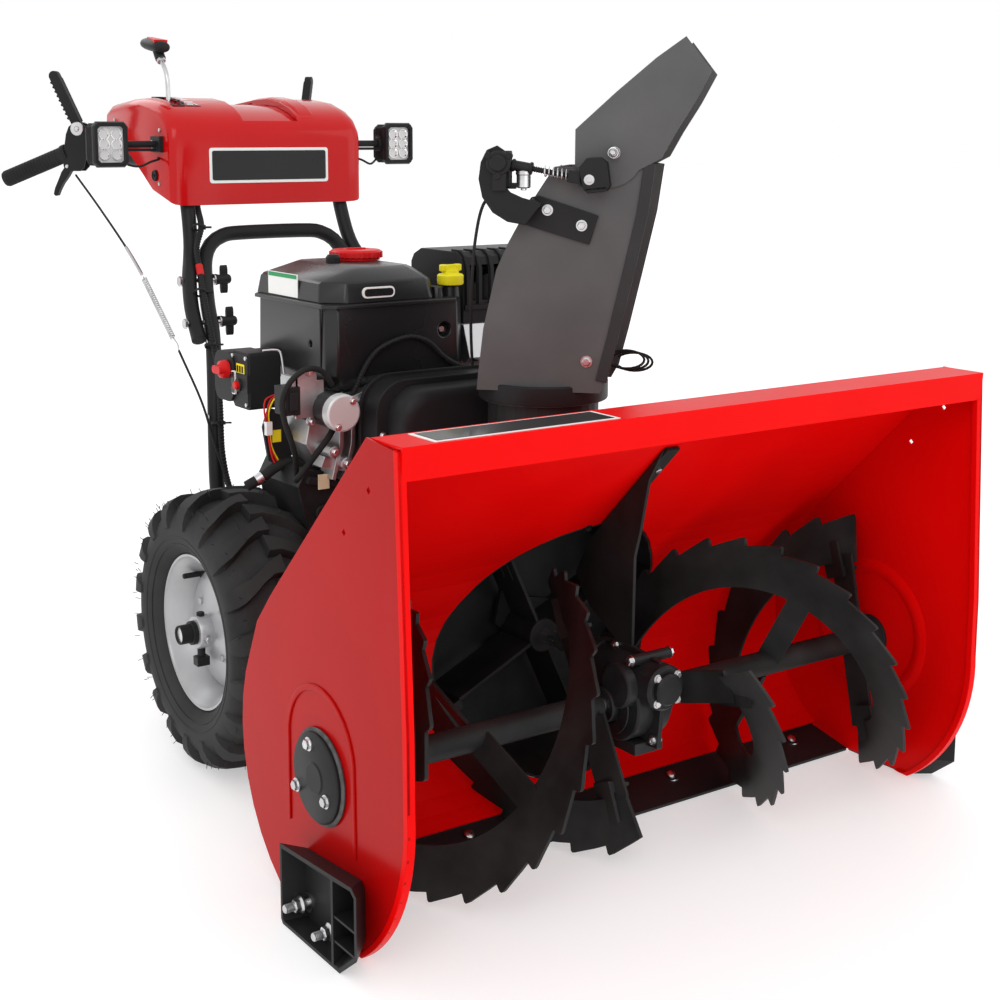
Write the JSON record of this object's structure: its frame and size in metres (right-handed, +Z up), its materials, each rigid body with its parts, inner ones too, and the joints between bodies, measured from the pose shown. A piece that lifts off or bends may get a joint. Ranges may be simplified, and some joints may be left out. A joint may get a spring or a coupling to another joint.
{
  "type": "snow blower",
  "caption": "Walk-behind two-stage snow blower: saw-edged auger ribbons in a red housing, tall turning chute with tilting deflector, engine, wheels and handlebars with dash.",
  "frame": {"origin": "on the floor under the middle of the overall length and width", "axes": "+X to the right seen from the front, +Y from the auger housing back to the grips, +Z up"},
  "size_m": [1.01, 1.6669, 1.1126],
  "materials": {
    "red_paint": "gloss red paint",
    "black_paint": "satin black powder coat",
    "chute_grey": "dark grey fine-texture coat",
    "steel": "zinc-plated",
    "cast_aluminium": "as cast",
    "cast_iron": "painted black",
    "rim_silver": "silver paint",
    "rubber": "matt",
    "tyre_rubber": "matt",
    "black_plastic": "moulded",
    "shroud_plastic": "semi-gloss",
    "red_plastic": "gloss",
    "yellow_plastic": "gloss"
  },
  "bodies": {
    "machine": {"side_panel_left": "red_paint", "side_panel_right": "red_paint", "housing_back": "red_paint", "scraper_bar": "black_paint", "skid_shoe_left": "black_plastic", "skid_shoe_right": "black_plastic", "impeller_drum": "black_paint", "gearbox_strap": "black_paint", "gearbox_case": "cast_iron", "belt_cover": "black_plastic", "chassis_frame": "red_paint", "transmission_case": "cast_aluminium", "engine_block": "cast_aluminium", "engine_shroud": "shroud_plastic", "engine_top_cover": "shroud_plastic", "starter_motor": "cast_aluminium", "muffler_guard": "black_paint", "control_box": "black_plastic", "lower_handle": "black_paint", "upper_handle_left": "black_paint", "upper_handle_right": "black_paint", "grip_left": "rubber", "grip_right": "rubber", "dash_panel": "red_paint", "clutch_cable_left": "black_plastic", "clutch_cable_right": "black_plastic", "wiring_loom": "black_plastic"},
    "auger": {"auger_shaft": "steel", "auger_left": "black_paint", "auger_right": "black_paint"},
    "impeller_drive": {"impeller": "black_paint", "impeller_shaft": "steel"},
    "crank": {"crankshaft": "steel"},
    "chute_turret": {"chute": "chute_grey", "actuator_bracket": "black_paint"},
    "deflector": {"chute_deflector": "chute_grey"},
    "actuator_body": {"actuator_motor": "black_plastic"},
    "actuator_stem": {"actuator_rod": "steel"},
    "wheel_left": {"tyre_left": "tyre_rubber", "rim_left": "rim_silver", "axle_left": "steel"},
    "wheel_right": {"tyre_right": "tyre_rubber", "rim_right": "rim_silver", "axle_right": "steel"},
    "choke": {"choke_knob": "red_plastic"},
    "starter_button": {"start_button": "red_plastic"},
    "recoil_grip": {"recoil_handle": "black_plastic"},
    "fuel_filler_cap": {"fuel_cap": "red_plastic"},
    "oil_filler_cap": {"oil_cap": "yellow_plastic"},
    "lever_left": {"clutch_lever_left": "black_plastic"},
    "lever_right": {"clutch_lever_right": "black_plastic"},
    "trigger_left": {"steering_trigger_left": "black_plastic"},
    "trigger_right": {"steering_trigger_right": "black_plastic"},
    "gear_lever": {"shift_lever": "steel"},
    "light_left": {"work_light_left": "black_paint"},
    "light_right": {"work_light_right": "black_paint"},
    "knob_upper_left": {"upper_knob_left": "black_plastic"},
    "knob_upper_right": {"upper_knob_right": "black_plastic"},
    "knob_lower_left": {"lower_knob_left": "black_plastic"},
    "knob_lower_right": {"lower_knob_right": "black_plastic"}
  },
  "joints": [
    {"name": "auger_spin", "type": "hinge", "parent": "machine", "child": "auger", "pos_m": [0, -0.6397, 0.195], "axis": [1, 0, 0], "continuous": true},
    {"name": "impeller_spin", "type": "hinge", "parent": "machine", "child": "impeller_drive", "pos_m": [0, -0.4367, 0.229], "axis": [0, 1, 0], "continuous": true},
    {"name": "crank_spin", "type": "hinge", "parent": "machine", "child": "crank", "pos_m": [0, -0.3197, 0.47], "axis": [0, 1, 0], "continuous": true},
    {"name": "chute_turn", "type": "hinge", "parent": "machine", "child": "chute_turret", "pos_m": [0, -0.4367, 0.575], "axis": [0, 0, 1], "range_deg": [-145, 55]},
    {"name": "deflector_tilt", "type": "hinge", "parent": "chute_turret", "child": "deflector", "pos_m": [0.06788, -0.50458, 0.92], "axis": [0.7071, 0.7071, 0], "range_deg": [-10, 40]},
    {"name": "actuator_tilt", "type": "hinge", "parent": "chute_turret", "child": "actuator_body", "pos_m": [-0.03182, -0.40488, 0.905], "axis": [0.7071, 0.7071, 0], "range_deg": [-11, 4]},
    {"name": "actuator_stroke", "type": "slide", "parent": "actuator_body", "child": "actuator_stem", "axis": [0.6963, -0.6963, -0.1738], "range_m": [-0.022, 0.006]},
    {"name": "wheel_left_spin", "type": "hinge", "parent": "machine", "child": "wheel_left", "pos_m": [0, -0.0897, 0.209], "axis": [1, 0, 0], "continuous": true},
    {"name": "wheel_right_spin", "type": "hinge", "parent": "machine", "child": "wheel_right", "pos_m": [0, -0.0897, 0.209], "axis": [1, 0, 0], "continuous": true},
    {"name": "choke_turn", "type": "hinge", "parent": "machine", "child": "choke", "pos_m": [-0.292, -0.0257, 0.59], "axis": [1, 0, 0], "range_deg": [0, 90]},
    {"name": "start_press", "type": "slide", "parent": "machine", "child": "starter_button", "axis": [1, 0, 0], "range_m": [0, 0.004], "stiffness_N_per_m": 400, "springref_m": -0.002},
    {"name": "recoil_pull", "type": "slide", "parent": "machine", "child": "recoil_grip", "axis": [0, 1, 0], "range_m": [0, 0.5], "stiffness_N_per_m": 30, "springref_m": -0.2},
    {"name": "fuel_cap_turn", "type": "hinge", "parent": "machine", "child": "fuel_filler_cap", "pos_m": [-0.095, -0.0767, 0.75], "axis": [0, 0, 1], "continuous": true},
    {"name": "oil_cap_turn", "type": "hinge", "parent": "machine", "child": "oil_filler_cap", "pos_m": [-0.008, -0.2097, 0.718], "axis": [0, 0, 1], "continuous": true},
    {"name": "lever_left_press", "type": "hinge", "parent": "machine", "child": "lever_left", "pos_m": [-0.23439, 0.71269, 0.947], "axis": [-0.7071, -0.7071, 0], "range_deg": [0, 75], "stiffness_Nm_per_rad": 2, "springref_deg": -11.46},
    {"name": "lever_right_press", "type": "hinge", "parent": "machine", "child": "lever_right", "pos_m": [0.23439, 0.71269, 0.947], "axis": [-0.7071, 0.7071, 0], "range_deg": [0, 75], "stiffness_Nm_per_rad": 2, "springref_deg": -11.46},
    {"name": "trigger_left_pull", "type": "hinge", "parent": "machine", "child": "trigger_left", "pos_m": [-0.25066, 0.72896, 0.878], "axis": [0.7071, 0.7071, 0], "range_deg": [0, 25], "stiffness_Nm_per_rad": 1, "springref_deg": -11.46},
    {"name": "trigger_right_pull", "type": "hinge", "parent": "machine", "child": "trigger_right", "pos_m": [0.25066, 0.72896, 0.878], "axis": [0.7071, -0.7071, 0], "range_deg": [0, 25], "stiffness_Nm_per_rad": 1, "springref_deg": -11.46},
    {"name": "gear_shift", "type": "hinge", "parent": "machine", "child": "gear_lever", "pos_m": [-0.15, 0.4963, 0.94], "axis": [1, 0, 0], "range_deg": [-18, 18]},
    {"name": "light_left_tilt", "type": "hinge", "parent": "machine", "child": "light_left", "pos_m": [-0.287, 0.4473, 0.921], "axis": [1, 0, 0], "range_deg": [-20, 20]},
    {"name": "light_right_tilt", "type": "hinge", "parent": "machine", "child": "light_right", "pos_m": [0.287, 0.4473, 0.921], "axis": [1, 0, 0], "range_deg": [-20, 20]},
    {"name": "knob_upper_left_turn", "type": "hinge", "parent": "machine", "child": "knob_upper_left", "pos_m": [0, 0.3493, 0.688], "axis": [1, 0, 0], "continuous": true},
    {"name": "knob_upper_right_turn", "type": "hinge", "parent": "machine", "child": "knob_upper_right", "pos_m": [0, 0.3493, 0.688], "axis": [1, 0, 0], "continuous": true},
    {"name": "knob_lower_left_turn", "type": "hinge", "parent": "machine", "child": "knob_lower_left", "pos_m": [0, 0.2863, 0.622], "axis": [1, 0, 0], "continuous": true},
    {"name": "knob_lower_right_turn", "type": "hinge", "parent": "machine", "child": "knob_lower_right", "pos_m": [0, 0.2863, 0.622], "axis": [1, 0, 0], "continuous": true}
  ],
  "couplings": [
    {"joint": "impeller_spin", "follows": "auger_spin", "ratio": 10},
    {"joint": "actuator_tilt", "follows": "deflector_tilt", "ratio": -0.25},
    {"joint": "actuator_stroke", "follows": "deflector_tilt", "m_per_rad": -0.03}
  ]
}
